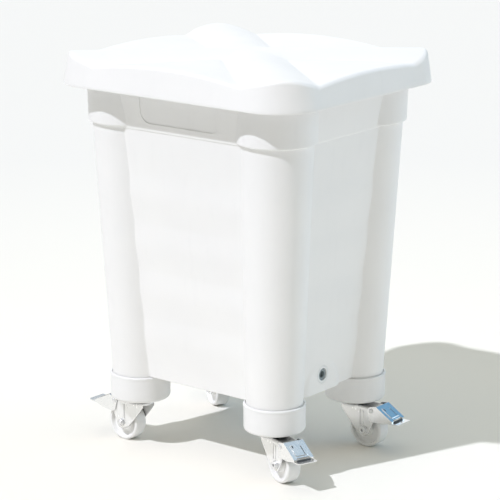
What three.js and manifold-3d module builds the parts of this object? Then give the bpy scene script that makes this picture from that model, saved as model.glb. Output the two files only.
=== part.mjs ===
// Linen trolley: a tapered plastic tub on four corner columns, with a lift-off lid, a drain
// in one side and four braked swivel castors. Units are millimetres and +Z is up. The origin
// is on the floor under the middle of the trolley. +X is the side with the drain.
import * as THREE from 'three';
import { mergeVertices } from 'three/addons/utils/BufferGeometryUtils.js';
import Module from 'manifold-3d';

const wasm = await Module();
wasm.setup();

// ---- Driving dimensions ----

const GAP = 0.3; // between pieces that touch
const WALL = 4.5; // moulded wall of the tub
const OVERSHOOT = 2; // how far a cutting tool runs past the face it cuts

// Column axes lean outwards: half their spacing at two heights.
const FOOT_Z = 161.2; // top of the foot caps
const COLLAR_Z = 712.3; // bottom of the corner collars
const FOOT_AXIS = { x: 182.8, y: 142.5 };
const COLLAR_AXIS = { x: 196.5, y: 156.1 };
const COLUMN_R = { foot: 59.5, collar: 75 };
const COLLAR_R = 82.6;

// Side panels stand this far outside the column axes.
const PANEL_TOP_Z = 708.4;
const TUB_BOTTOM_Z = 162.4;
const PANEL_OFFSET = { top: 62.2, bottom: 30 };
const END_PANEL_INSET = 1.6; // the X panels sit this much further in than the Y panels
const BOARDS = {
  firstZ: 612, pitch: 104.3, count: 5, upright: 44, firstOffset: 55.9, step: 6, topStep: 4, draft: 0.4,
};
const BAND_OFFSET = { bottom: 62.9, top: 70.6, topZ: 778 };
const FLOOR = 5;

const RIM = { topZ: 829, thick: 5, lipZ: 803, inset: 15, lipThick: 4 };
const GRIP = { half: 104, bottomZ: 726, topZ: 790, depth: 1.5, cornerR: 24 };

// Drop-on lid.
const LID = { halfX: 319.3, halfY: 279.1, cornerR: 97, bottomZ: 793, flare: 8, thick: 4, edgeR: 9 };
const RIDGE = { centreZ: 863, cornerZ: 859, halfWidth: 62, widening: 0.045, power: 1.8 };
const LID_SIDE = { apexZ: 850, creaseZ: 838, midXZ: 849, midYZ: 856, power: 1.7 };
const LID_SHARES = [0.1, 0.3, 0.5, 0.7, 0.88]; // rings of the lid, as shares of its outline

// Segments round curved pieces.
const STEPS = { column: 24, lidCorner: 8, rimCorner: 6, panelCorner: 2, cap: 24, wheel: 24, bore: 28 };

// Foot caps with a castor socket.
const CAP = { r: 65, bottomZ: 103.5, wall: 3.5, floor: 5, edgeR: 8, bossR: 13, bossZ: 145 };
const SPIGOT = { r: 58.5, wall: 4, bottomZ: 112 };

// Drain in the +X panel.
const DRAIN = { y: -24, z: 199, bore: 13, tubeR: 15.5, flangeR: 19, faceX: 218.5, seatX: 214, wallInX: 206 };
const BOSS = { halfWidth: 50, baseZ: 170.4, topZ: 228, slope: 14, proud: 6 };
const DRAIN_NUT = { r: 24, x0: 196, x1: 205.5 };
const DRAIN_FLANGE = { thick: 3, chamferX: 0.6, chamferR: 1 };
const DRAIN_TUBE_END_X = 192;
const DRAIN_SEAL_THICK = 1.5;
const PLUG = { length: 20, setBack: 2, socketR: 7, socketDepth: 6 };

// Castors: 80 mm wheel that trails behind the swivel axis.
const WHEEL = { r: 40, width: 32, hubWidth: 35, hubR: 14, rimR: 31, webWidth: 14, bore: 9.8 };
const TRAIL = 38;
const AXLE_R = 5;
const BUSH_R = { outer: 9.5, inner: 5.3 };
const FORK = { inner: 18.2, sheet: 2.6, crownZ: 90.4, crownR: 29, crownEndU: 66, boltHole: 7, footR: 13 };
const FORK_LEADING = [[-24, 91.4], [-19, 78], [-8, 64], [8, 46], [22, 33]]; // crown down to axle, as [u, z]
const FORK_TRAILING = [[58, 56], [64, 74], [66, 91.4]]; // axle up to crown
const HEAD = { r: 27, plate: 3, rimZ: 95.2, rimWall: 2.6 };
const BALLS = { inner: 16.5, outer: 23.6, bottomZ: 93.5 };
const BOLT = { r: 6, headR: 11, headBottomZ: 82.6, topZ: 138 };
const AXLE_HEAD = { r: 9, thick: 6 };
const PIVOT = { u: 58, z: 86, r: 3.2, headR: 5, headThick: 1.5 };
const PEDAL = { inner: 21.8, sheet: 2, topU: 71, topZ: 97, endU: 113, endZ: 70.5, lipU: 129, lipZ: 67.5 };
const CHEEK = { eyeR: 8.5, heelU: 52, heelZ: 66, lowZ: 61.5, lowFromU: 58, lowToU: 88 };
const SHOE = { clearance: 0.4, thick: 5, from: 32, to: 62, armU: 74, armLength: 14, width: 24 };

const CORNERS = [
  { name: 'front_left', sx: -1, sy: -1, heading: 179, pedalLift: 6 },
  { name: 'front_right', sx: 1, sy: -1, heading: -20, pedalLift: 0 },
  { name: 'rear_right', sx: 1, sy: 1, heading: 1, pedalLift: 0 },
  { name: 'rear_left', sx: -1, sy: 1, heading: 150, pedalLift: 0 },
];

// ---- Materials ----

const plastic = () => new THREE.MeshStandardMaterial({ color: 0xf2f2f0, roughness: 0.35, metalness: 0 });
const nylon = () => new THREE.MeshStandardMaterial({ color: 0xe9eae8, roughness: 0.5, metalness: 0 });
const stainless = () => new THREE.MeshStandardMaterial({ color: 0xc6c8ca, roughness: 0.25, metalness: 1 });
const darkPlastic = () => new THREE.MeshStandardMaterial({ color: 0x2c3338, roughness: 0.5, metalness: 0 });
const rubber = () => new THREE.MeshStandardMaterial({ color: 0x1c1c1d, roughness: 0.8, metalness: 0 });

const group = new THREE.Group();

function addMesh(parent, name, geometry, material) {
  const mesh = new THREE.Mesh(geometry, material);
  mesh.name = name;
  parent.add(mesh);
  return mesh;
}

// ---- Solids ----

function toSolid(geometry) {
  const bare = geometry.clone();
  bare.deleteAttribute('normal');
  bare.deleteAttribute('uv');
  const merged = mergeVertices(bare, 1e-4);
  return new wasm.Manifold(new wasm.Mesh({
    numProp: 3,
    vertProperties: new Float32Array(merged.attributes.position.array),
    triVerts: new Uint32Array(merged.index.array),
  }));
}

function toGeometry(solid) {
  const mesh = solid.getMesh();
  const geometry = new THREE.BufferGeometry();
  geometry.setAttribute('position', new THREE.BufferAttribute(mesh.vertProperties.slice(), 3));
  geometry.setIndex(new THREE.BufferAttribute(mesh.triVerts.slice(), 1));
  geometry.computeVertexNormals();
  return geometry;
}

const join = (solids) => solids.reduce((sum, solid) => sum.add(solid));
const cut = (solid, tools) => tools.reduce((rest, tool) => rest.subtract(tool), solid);

// A closed skin through rings of equal length, given from one end to the other. Each ring
// runs anticlockwise seen from the last ring's end.
function loft(rings) {
  const count = rings[0].length;
  const points = rings.flat();
  const faces = [];
  for (let ring = 0; ring + 1 < rings.length; ring += 1) {
    for (let i = 0; i < count; i += 1) {
      const j = (i + 1) % count;
      const a = ring * count + i;
      const b = ring * count + j;
      faces.push(a, b, b + count, a, b + count, a + count);
    }
  }
  const capAt = (ring, outward) => {
    const centre = points.length;
    points.push(mean(rings[ring]));
    for (let i = 0; i < count; i += 1) {
      const a = ring * count + i;
      const b = ring * count + ((i + 1) % count);
      faces.push(...(outward ? [centre, a, b] : [centre, b, a]));
    }
  };
  capAt(0, false);
  capAt(rings.length - 1, true);
  const geometry = new THREE.BufferGeometry().setFromPoints(points);
  geometry.setIndex(faces);
  return geometry;
}

function mean(ring) {
  const sum = ring.reduce((total, point) => total.add(point), new THREE.Vector3());
  return sum.divideScalar(ring.length);
}

function cylinderZ(x, y, r, z0, z1, segments = 32) {
  const geometry = new THREE.CylinderGeometry(r, r, z1 - z0, segments);
  geometry.rotateX(Math.PI / 2);
  geometry.translate(x, y, (z0 + z1) / 2);
  return geometry;
}

function cylinderX(x0, x1, y, z, r, segments = STEPS.bore) {
  const geometry = new THREE.CylinderGeometry(r, r, x1 - x0, segments);
  geometry.rotateZ(-Math.PI / 2);
  geometry.translate((x0 + x1) / 2, y, z);
  return geometry;
}

// A solid of revolution about Z from a closed [radius, height] outline, anticlockwise.
function turned(outline, segments) {
  const profile = [...outline, outline[0]].map(([r, z]) => new THREE.Vector2(r, z));
  const geometry = new THREE.LatheGeometry(profile, segments);
  geometry.rotateX(Math.PI / 2);
  return geometry;
}

// A flat plate: an outline in the trail (u) and height (z) plane, thick along +v.
function plateUZ(outline, v0, thick, holes = []) {
  const shape = new THREE.Shape(outline.map(([u, z]) => new THREE.Vector2(u, z)));
  for (const hole of holes) {
    const path = new THREE.Path();
    path.absarc(hole.u, hole.z, hole.r, 0, 2 * Math.PI, true);
    shape.holes.push(path);
  }
  const geometry = new THREE.ExtrudeGeometry(shape, { depth: thick, bevelEnabled: false, curveSegments: 5 });
  geometry.rotateX(Math.PI / 2);
  geometry.translate(0, v0 + thick, 0);
  return geometry;
}

function arc(cx, cy, r, from, to, steps) {
  return Array.from({ length: steps + 1 }, (_, i) => {
    const angle = THREE.MathUtils.degToRad(from + ((to - from) * i) / steps);
    return [cx + r * Math.cos(angle), cy + r * Math.sin(angle)];
  });
}

// ---- Tub ----

const alongColumn = (low, high, z) => low + ((high - low) * (z - FOOT_Z)) / (COLLAR_Z - FOOT_Z);
const axisX = (z) => alongColumn(FOOT_AXIS.x, COLLAR_AXIS.x, z);
const axisY = (z) => alongColumn(FOOT_AXIS.y, COLLAR_AXIS.y, z);
const columnR = (z) => alongColumn(COLUMN_R.foot, COLUMN_R.collar, z);

// A level rectangle with rounded corners: corner centres at (cx, cy), corner radii (rx, ry).
function roundedRing(cx, cy, rx, ry, z, steps) {
  const quarters = [[1, 1, 0], [-1, 1, 90], [-1, -1, 180], [1, -1, 270]];
  return quarters.flatMap(([sx, sy, start]) => arc(0, 0, 1, start, start + 90, steps).map(
    ([c, s]) => new THREE.Vector3(sx * cx + rx * c, sy * cy + ry * s, z),
  ));
}

function panelRing(offset, z) {
  return roundedRing(axisX(z), axisY(z), offset - END_PANEL_INSET, offset, z, STEPS.panelCorner);
}

// Heights and offsets of the stepped side panels, from the bottom up.
function panelLevels() {
  const levels = [[PANEL_OFFSET.top, PANEL_TOP_Z]];
  levels.push([BOARDS.firstOffset + BOARDS.topStep, BOARDS.firstZ + BOARDS.pitch - BOARDS.upright]);
  for (let i = 0; i < BOARDS.count; i += 1) {
    const z = BOARDS.firstZ - i * BOARDS.pitch;
    const offset = BOARDS.firstOffset - i * BOARDS.step;
    levels.push([offset, z]);
    if (i + 1 < BOARDS.count) levels.push([offset - BOARDS.draft, z - BOARDS.upright]);
  }
  levels.push([PANEL_OFFSET.bottom, TUB_BOTTOM_Z]);
  return levels.reverse();
}

// A round solid that leans with a corner's axis, with its radius given for each height.
function leaningSolid(corner, z0, z1, radiusAt) {
  const lastAngle = 360 - 360 / STEPS.column;
  const ring = (z) => {
    const circle = arc(corner.sx * axisX(z), corner.sy * axisY(z), radiusAt(z), 0, lastAngle, STEPS.column - 1);
    return circle.map(([x, y]) => new THREE.Vector3(x, y, z));
  };
  return toSolid(loft([ring(z0), ring(z1)]));
}

function bandSolid(z0, inset) {
  const slope = (BAND_OFFSET.top - BAND_OFFSET.bottom) / (BAND_OFFSET.topZ - PANEL_TOP_Z);
  const offset = (z) => Math.min(BAND_OFFSET.top, BAND_OFFSET.bottom + slope * (z - PANEL_TOP_Z)) - inset;
  return toSolid(loft([z0, BAND_OFFSET.topZ, RIM.topZ].map((z) => panelRing(offset(z), z))));
}

function lidRing(inset, z, steps) {
  const r = LID.cornerR - inset;
  return roundedRing(LID.halfX - LID.cornerR, LID.halfY - LID.cornerR, r, r, z, steps);
}

// The rim flange reaches out under the lid, with a lip turned down at its edge.
function rimSolid() {
  const ring = (inset, z) => lidRing(inset, z, STEPS.rimCorner);
  const flange = toSolid(loft([RIM.topZ - RIM.thick, RIM.topZ].map((z) => ring(RIM.inset, z))));
  const lip = toSolid(loft([RIM.lipZ, RIM.topZ - 1].map((z) => lidRing(RIM.inset, z, STEPS.rimCorner))));
  const inside = toSolid(loft([RIM.lipZ - 1, RIM.topZ].map((z) => ring(RIM.inset + RIM.lipThick, z))));
  return flange.add(lip.subtract(inside));
}

// The shallow arched pad on the +X panel that carries the drain.
function drainBoss() {
  const pad = (grow, x) => {
    const half = BOSS.halfWidth + grow;
    const rise = BOSS.topZ - BOSS.baseZ + grow / 2;
    const arch = arc(0, 0, 1, 0, 180, 12).map(([c, s]) => [DRAIN.y + c * half, BOSS.baseZ + s * rise]);
    const outline = [[DRAIN.y + half, TUB_BOTTOM_Z], ...arch, [DRAIN.y - half, TUB_BOTTOM_Z]];
    return outline.map(([y, z]) => new THREE.Vector3(x, y, z));
  };
  const backX = DRAIN.faceX - BOSS.proud;
  return toSolid(loft([pad(BOSS.slope, DRAIN.wallInX), pad(BOSS.slope, backX), pad(0, DRAIN.faceX)]));
}

// The shallow rounded recess pressed into the band on the two long sides.
function gripRecess(side) {
  const { half, bottomZ, topZ, depth, cornerR } = GRIP;
  const shape = new THREE.Shape();
  shape.moveTo(-half, topZ);
  shape.lineTo(-half, bottomZ + cornerR);
  shape.absarc(-half + cornerR, bottomZ + cornerR, cornerR, Math.PI, 1.5 * Math.PI, false);
  shape.absarc(half - cornerR, bottomZ + cornerR, cornerR, 1.5 * Math.PI, 2 * Math.PI, false);
  shape.lineTo(half, topZ);
  const tool = new THREE.ExtrudeGeometry(shape, { depth: 20, bevelEnabled: false, curveSegments: 5 });
  tool.rotateX(Math.PI / 2);
  const lean = Math.atan((BAND_OFFSET.top - BAND_OFFSET.bottom) / (BAND_OFFSET.topZ - PANEL_TOP_Z));
  tool.translate(0, 0, -PANEL_TOP_Z);
  tool.rotateX(lean);
  tool.translate(0, -(axisY(PANEL_TOP_Z) + BAND_OFFSET.bottom) + depth, PANEL_TOP_Z);
  if (side > 0) tool.rotateZ(Math.PI);
  return toSolid(tool);
}

function tubBody() {
  const levels = panelLevels();
  const inFloorZ = TUB_BOTTOM_Z + FLOOR;
  const collarIn = COLLAR_Z + WALL;
  const outer = [
    toSolid(loft(levels.map(([offset, z]) => panelRing(offset, z)))),
    bandSolid(PANEL_TOP_Z, 0),
    rimSolid(),
    drainBoss(),
  ];
  const cavity = [
    toSolid(loft([
      panelRing(PANEL_OFFSET.bottom - WALL, inFloorZ),
      panelRing(PANEL_OFFSET.top - WALL - 1, PANEL_TOP_Z),
      panelRing(BAND_OFFSET.top - WALL, BAND_OFFSET.topZ),
      panelRing(BAND_OFFSET.top - WALL, RIM.topZ + OVERSHOOT),
    ])),
  ];
  const spigotCuts = [];
  for (const corner of CORNERS) {
    const x = corner.sx * FOOT_AXIS.x;
    const y = corner.sy * FOOT_AXIS.y;
    outer.push(leaningSolid(corner, FOOT_Z + GAP, COLLAR_Z + 1, columnR));
    outer.push(leaningSolid(corner, COLLAR_Z, RIM.topZ - 1, () => COLLAR_R));
    outer.push(toSolid(cylinderZ(x, y, SPIGOT.r, SPIGOT.bottomZ, FOOT_Z + FLOOR)));
    spigotCuts.push(toSolid(cylinderZ(x, y, SPIGOT.r - SPIGOT.wall, SPIGOT.bottomZ - 1, FOOT_Z)));
    cavity.push(leaningSolid(corner, inFloorZ, collarIn, (z) => columnR(z) - WALL));
    cavity.push(leaningSolid(corner, collarIn - 1, RIM.topZ + OVERSHOOT, () => COLLAR_R - WALL));
  }
  const holeR = DRAIN.tubeR + GAP;
  const drainHole = toSolid(cylinderX(DRAIN.wallInX - 12, DRAIN.faceX + 5, DRAIN.y, DRAIN.z, holeR));
  const flangeSeat = toSolid(cylinderX(DRAIN.seatX, DRAIN.faceX + 5, DRAIN.y, DRAIN.z, DRAIN.flangeR + GAP));
  const openings = [drainHole, flangeSeat, gripRecess(-1), gripRecess(1)];
  return cut(join(outer), [join(cavity), ...spigotCuts, ...openings]);
}

// ---- Lid ----

const CORNER_ANGLE = Math.atan2(LID.halfY, LID.halfX);
const CORNER_COS = Math.cos(CORNER_ANGLE);
const CORNER_SIN = Math.sin(CORNER_ANGLE);
const CORNER_REACH = Math.hypot(LID.halfX, LID.halfY) - LID.cornerR * (Math.SQRT2 - 1);

// Height of the lid's upper surface: four rounded ridges along the diagonals, and between
// them side panels that arch up from the creases.
function lidTopZ(x, y) {
  const along = Math.abs(x) * CORNER_COS + Math.abs(y) * CORNER_SIN;
  const towardX = Math.abs(x) * CORNER_SIN;
  const towardY = Math.abs(y) * CORNER_COS;
  const across = Math.abs(towardX - towardY);
  const reach = Math.min(1, along / CORNER_REACH);
  const width = RIDGE.halfWidth + RIDGE.widening * along;
  const crease = LID_SIDE.apexZ + (LID_SIDE.creaseZ - LID_SIDE.apexZ) * reach;
  if (across < width) {
    const crest = RIDGE.centreZ + (RIDGE.cornerZ - RIDGE.centreZ) * reach;
    return crest - (crest - crease) * (across / width) ** RIDGE.power;
  }
  const onEnd = towardX > towardY;
  const share = onEnd ? Math.abs(x) / LID.halfX : Math.abs(y) / LID.halfY;
  const midline = LID_SIDE.apexZ + ((onEnd ? LID_SIDE.midXZ : LID_SIDE.midYZ) - LID_SIDE.apexZ) * share;
  const toCrease = Math.min(towardX, towardY) / (Math.max(towardX, towardY) - width);
  return crease + (midline - crease) * (1 - toCrease ** LID_SIDE.power);
}

// A ring of the lid's outline, shrunk to a share of its size and laid on the upper surface.
function lidSurfaceRing(share, inset, drop) {
  return lidRing(inset, 0, STEPS.lidCorner).map((point) => {
    const x = point.x * share;
    const y = point.y * share;
    return new THREE.Vector3(x, y, lidTopZ(x, y) - drop);
  });
}

function lidGeometry() {
  const inner = LID.flare + LID.thick;
  return loft([
    ...LID_SHARES.map((share) => lidSurfaceRing(share, inner, LID.thick)),
    lidSurfaceRing(1, inner, LID.thick + LID.edgeR / 2),
    lidRing(LID.thick, LID.bottomZ, STEPS.lidCorner),
    lidRing(0, LID.bottomZ, STEPS.lidCorner),
    lidSurfaceRing(1, LID.flare, LID.edgeR),
    lidSurfaceRing(1, LID.flare + LID.edgeR * 0.3, LID.edgeR * 0.3),
    lidSurfaceRing(1, LID.flare + LID.edgeR, 0),
    ...LID_SHARES.toReversed().map((share) => lidSurfaceRing(share, LID.flare, 0)),
  ]);
}

// ---- Foot caps and drain ----

function footCapGeometry() {
  const { r, bottomZ, wall, floor, edgeR, bossR, bossZ } = CAP;
  const bore = BOLT.r + GAP;
  return turned([
    [bore, bottomZ],
    [r - edgeR, bottomZ],
    ...arc(r - edgeR, bottomZ + edgeR, edgeR, -60, 0, 2),
    [r, FOOT_Z],
    [r - wall, FOOT_Z],
    [r - wall, bottomZ + edgeR],
    [r - wall - floor, bottomZ + floor],
    [bossR, bottomZ + floor],
    [bossR, bossZ],
    [bore, bossZ],
  ], STEPS.cap);
}

// Drain pieces are turned about Z, then laid along +X at the drain's height.
function layAlongX(geometry) {
  geometry.rotateY(Math.PI / 2);
  geometry.translate(0, DRAIN.y, DRAIN.z);
  return geometry;
}

function drainFittingGeometry() {
  const { seatX, bore, tubeR, flangeR } = DRAIN;
  const back = seatX + DRAIN_SEAL_THICK + 2 * GAP;
  return layAlongX(turned([
    [bore, DRAIN_TUBE_END_X],
    [tubeR, DRAIN_TUBE_END_X],
    [tubeR, back],
    [flangeR, back],
    [flangeR, back + DRAIN_FLANGE.thick - DRAIN_FLANGE.chamferX],
    [flangeR - DRAIN_FLANGE.chamferR, back + DRAIN_FLANGE.thick],
    [bore, back + DRAIN_FLANGE.thick],
  ], 20));
}

function drainPlugGeometry() {
  const r = DRAIN.bore - GAP;
  const frontX = DRAIN.faceX - PLUG.setBack;
  return layAlongX(turned([
    [0, frontX - PLUG.length],
    [r, frontX - PLUG.length],
    [r, frontX],
    [PLUG.socketR, frontX],
    [PLUG.socketR, frontX - PLUG.socketDepth],
    [0, frontX - PLUG.socketDepth],
  ], 16));
}

function drainSealGeometry() {
  const inner = DRAIN.tubeR + GAP;
  const outer = DRAIN.flangeR - 1;
  const x0 = DRAIN.seatX + GAP;
  const x1 = x0 + DRAIN_SEAL_THICK;
  return layAlongX(turned([[inner, x0], [outer, x0], [outer, x1], [inner, x1]], 16));
}

function drainNutGeometry() {
  const { r, x0, x1 } = DRAIN_NUT;
  const body = toSolid(cylinderX(x0, x1, DRAIN.y, DRAIN.z, r, 8));
  const hole = toSolid(cylinderX(x0 - 1, x1 + 1, DRAIN.y, DRAIN.z, DRAIN.tubeR + 2 * GAP));
  return toGeometry(body.subtract(hole));
}

// ---- Castor pieces: u runs along the trail, v across it, and the swivel axis is at u = 0 ----

const FORK_OUTER = FORK.inner + FORK.sheet;

function swivelHeadGeometry() {
  const top = CAP.bottomZ - GAP;
  const bore = BOLT.r + GAP;
  return turned([
    [bore, top - HEAD.plate],
    [HEAD.r - HEAD.rimWall, top - HEAD.plate],
    [HEAD.r - HEAD.rimWall, HEAD.rimZ],
    [HEAD.r, HEAD.rimZ],
    [HEAD.r, top - 1],
    [HEAD.r - 1, top],
    [bore, top],
  ], 20);
}

function ballRingGeometry() {
  const top = CAP.bottomZ - HEAD.plate - 2 * GAP;
  const { inner, outer, bottomZ } = BALLS;
  return turned([
    [inner, bottomZ + 1],
    [outer, bottomZ + 1],
    [outer, top - 1],
    [inner, top],
  ], 16);
}

function mountBoltGeometry() {
  const head = cylinderZ(0, 0, BOLT.headR, BOLT.headBottomZ, FORK.crownZ - GAP, 6);
  const shank = cylinderZ(0, 0, BOLT.r, BOLT.headBottomZ + 1, BOLT.topZ, 12);
  return toGeometry(toSolid(head).add(toSolid(shank)));
}

// One side of the fork: a pressed plate that sweeps down from the crown to the axle.
function forkLeg(v0) {
  const foot = arc(TRAIL, WHEEL.r, FORK.footR, 215, 335, 4);
  const outline = [...FORK_LEADING, ...foot, ...FORK_TRAILING];
  const holes = [
    { u: TRAIL, z: WHEEL.r, r: AXLE_R + GAP },
    { u: PIVOT.u, z: PIVOT.z, r: PIVOT.r + GAP },
  ];
  return toSolid(plateUZ(outline, v0, FORK.sheet, holes));
}

function forkGeometry() {
  const crown = new THREE.Shape();
  crown.moveTo(FORK.crownEndU, -FORK_OUTER);
  crown.lineTo(FORK.crownEndU, FORK_OUTER);
  crown.lineTo(Math.sqrt(FORK.crownR ** 2 - FORK_OUTER ** 2), FORK_OUTER);
  const meet = Math.asin(FORK_OUTER / FORK.crownR);
  crown.absarc(0, 0, FORK.crownR, meet, 2 * Math.PI - meet, false);
  const hole = new THREE.Path();
  hole.absarc(0, 0, FORK.boltHole, 0, 2 * Math.PI, true);
  crown.holes.push(hole);
  const options = { depth: FORK.sheet, bevelEnabled: false, curveSegments: 6 };
  const plate = new THREE.ExtrudeGeometry(crown, options);
  plate.translate(0, 0, FORK.crownZ);
  return toGeometry(join([toSolid(plate), forkLeg(FORK.inner), forkLeg(-FORK_OUTER)]));
}

// Turned about Z, then laid across the castor, along v, at a point in the u and z plane.
function layAcross(geometry, u, z) {
  geometry.rotateX(Math.PI / 2);
  geometry.translate(u, 0, z);
  return geometry;
}

function wheelGeometry() {
  const { r, width, hubWidth, hubR, rimR, webWidth, bore } = WHEEL;
  const side = [
    [hubR, hubWidth / 2],
    [hubR + 1, webWidth / 2],
    [rimR, webWidth / 2],
    [rimR + 1, width / 2],
    [r - 1.5, width / 2 - 2.5],
    [r, width / 2 - 7],
  ];
  const lower = side.map(([radius, h]) => [radius, -h]);
  const outline = [[bore, -hubWidth / 2], ...lower, ...side.toReversed(), [bore, hubWidth / 2]];
  return layAcross(turned(outline, STEPS.wheel), TRAIL, r);
}

function wheelBushGeometry() {
  const half = WHEEL.hubWidth / 2 + 0.4;
  const { inner, outer } = BUSH_R;
  const outline = [[inner, -half], [outer, -half], [outer, half], [inner, half]];
  return layAcross(turned(outline, 14), TRAIL, WHEEL.r);
}

// The head and the nut stand on the fork's outer faces.
function axleBoltGeometry() {
  const face = FORK_OUTER + GAP;
  const head = cylinderZ(0, 0, AXLE_HEAD.r, -face - AXLE_HEAD.thick, -face, 6);
  const shank = cylinderZ(0, 0, AXLE_R, -face - 1, face + AXLE_HEAD.thick + 1, 12);
  return layAcross(toGeometry(toSolid(head).add(toSolid(shank))), TRAIL, WHEEL.r);
}

function axleNutGeometry() {
  const face = FORK_OUTER + GAP;
  const nut = toSolid(cylinderZ(0, 0, AXLE_HEAD.r, face, face + AXLE_HEAD.thick, 6));
  const hole = toSolid(cylinderZ(0, 0, AXLE_R + GAP, face - 1, face + AXLE_HEAD.thick + 1, 12));
  return layAcross(toGeometry(nut.subtract(hole)), TRAIL, WHEEL.r);
}

// The pedal is a channel: a sloped tread plate with a lip, between two cheeks.
function pedalGeometry() {
  const { inner, sheet, topU, topZ, endU, endZ, lipU, lipZ } = PEDAL;
  const plate = plateUZ([
    [topU, topZ],
    [topU - 1.2, topZ - 1.6],
    [endU - 1.2, endZ - sheet],
    [lipU, lipZ - sheet],
    [lipU + 0.5, lipZ],
    [endU, endZ],
  ], -inner - sheet, 2 * (inner + sheet));
  const outline = [
    [topU, topZ - 0.5],
    ...arc(PIVOT.u, PIVOT.z, CHEEK.eyeR, 76, 180, 4),
    [CHEEK.heelU, CHEEK.heelZ],
    [CHEEK.lowFromU, CHEEK.lowZ],
    [CHEEK.lowToU, CHEEK.lowZ],
    [endU, endZ - 0.5],
  ];
  const hole = { u: PIVOT.u, z: PIVOT.z, r: PIVOT.r + GAP };
  const cheeks = [inner, -inner - sheet].map((v0) => toSolid(plateUZ(outline, v0, sheet, [hole])));
  return toGeometry(join([toSolid(plate), ...cheeks]));
}

// Turns a pedal piece up about its pin.
function lifted(geometry, degrees) {
  geometry.translate(-PIVOT.u, 0, -PIVOT.z);
  geometry.rotateY(-THREE.MathUtils.degToRad(degrees));
  geometry.translate(PIVOT.u, 0, PIVOT.z);
  return geometry;
}

function pedalPinGeometry() {
  const face = PEDAL.inner + PEDAL.sheet + GAP;
  const { r, headR, headThick } = PIVOT;
  return layAcross(turned([
    [0, -face - headThick],
    [headR, -face - headThick],
    [headR, -face],
    [r, -face],
    [r, face],
    [headR, face],
    [headR, face + headThick],
    [0, face + headThick],
  ], 10), PIVOT.u, PIVOT.z);
}

// The shoe hangs under the tread plate and follows the wheel's tread.
function brakeShoeGeometry() {
  const slope = (PEDAL.endZ - PEDAL.topZ) / (PEDAL.endU - PEDAL.topU);
  const underPlate = (u) => PEDAL.topZ + slope * (u - PEDAL.topU) - PEDAL.sheet * 1.25 - 2 * GAP;
  return plateUZ([
    ...arc(TRAIL, WHEEL.r, WHEEL.r + SHOE.clearance, SHOE.from, SHOE.to, 5),
    ...arc(TRAIL, WHEEL.r, WHEEL.r + SHOE.clearance + SHOE.thick, SHOE.to, SHOE.to - 8, 1),
    [SHOE.armU, underPlate(SHOE.armU)],
    [SHOE.armU + SHOE.armLength, underPlate(SHOE.armU + SHOE.armLength)],
    ...arc(TRAIL, WHEEL.r, WHEEL.r + SHOE.clearance + SHOE.thick, SHOE.from + 4, SHOE.from, 1),
  ], -SHOE.width / 2, SHOE.width);
}

// ---- Assembly ----

function addCastor(corner) {
  const castor = new THREE.Group();
  castor.position.set(corner.sx * FOOT_AXIS.x, corner.sy * FOOT_AXIS.y, 0);
  castor.rotation.z = THREE.MathUtils.degToRad(corner.heading);
  group.add(castor);
  const add = (piece, geometry, material) => addMesh(castor, `${piece}_${corner.name}`, geometry, material);
  add('swivel_head', swivelHeadGeometry(), stainless());
  add('mount_bolt', mountBoltGeometry(), stainless());
  add('ball_ring', ballRingGeometry(), stainless());
  add('fork', forkGeometry(), stainless());
  add('wheel', wheelGeometry(), nylon());
  add('wheel_bush', wheelBushGeometry(), darkPlastic());
  add('axle_bolt', axleBoltGeometry(), stainless());
  add('axle_nut', axleNutGeometry(), stainless());
  add('brake_pedal', lifted(pedalGeometry(), corner.pedalLift), stainless());
  add('pedal_pin', pedalPinGeometry(), stainless());
  add('brake_shoe', lifted(brakeShoeGeometry(), corner.pedalLift), darkPlastic());
}

function addDrain() {
  addMesh(group, 'drain_fitting', drainFittingGeometry(), plastic());
  addMesh(group, 'drain_plug', drainPlugGeometry(), darkPlastic());
  addMesh(group, 'drain_seal', drainSealGeometry(), rubber());
  addMesh(group, 'drain_nut', drainNutGeometry(), plastic());
}

addMesh(group, 'tub_body', toGeometry(tubBody()), plastic());
addMesh(group, 'lid', lidGeometry(), plastic());
for (const corner of CORNERS) {
  const cap = addMesh(group, `foot_cap_${corner.name}`, footCapGeometry(), plastic());
  cap.position.set(corner.sx * FOOT_AXIS.x, corner.sy * FOOT_AXIS.y, 0);
  addCastor(corner);
}
addDrain();

export default group;
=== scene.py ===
"""The linen trolley's finished look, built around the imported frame.

Shapes are given in millimetres, as in the CAD, and scaled to metres as each mesh is made.
"""

import math

import bmesh
import bpy
from mathutils import Matrix, Vector


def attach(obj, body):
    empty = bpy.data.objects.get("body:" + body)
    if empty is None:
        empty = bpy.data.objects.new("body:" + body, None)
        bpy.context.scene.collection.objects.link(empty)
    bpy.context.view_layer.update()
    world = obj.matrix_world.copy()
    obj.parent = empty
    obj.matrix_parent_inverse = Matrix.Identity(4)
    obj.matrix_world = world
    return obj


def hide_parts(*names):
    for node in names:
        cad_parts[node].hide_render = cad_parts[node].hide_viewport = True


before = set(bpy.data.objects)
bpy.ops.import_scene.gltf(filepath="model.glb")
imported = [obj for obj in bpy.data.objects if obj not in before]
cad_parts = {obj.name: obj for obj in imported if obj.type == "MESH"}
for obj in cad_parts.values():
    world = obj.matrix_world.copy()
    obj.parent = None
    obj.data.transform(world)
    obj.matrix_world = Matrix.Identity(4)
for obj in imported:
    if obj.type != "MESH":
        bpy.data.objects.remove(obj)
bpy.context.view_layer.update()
scene = bpy.context.scene

MM = 0.001

# ---- Dimensions shared with the CAD ----

GAP = 0.3
FOOT_Z = 161.2
COLLAR_Z = 712.3
FOOT_AXIS = (182.8, 142.5)
COLLAR_AXIS = (196.5, 156.1)
COLUMN_R = (59.5, 75.0)
COLLAR_R = 82.6
COLLAR_LIP = 2.5
WALL = 4.5

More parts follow.
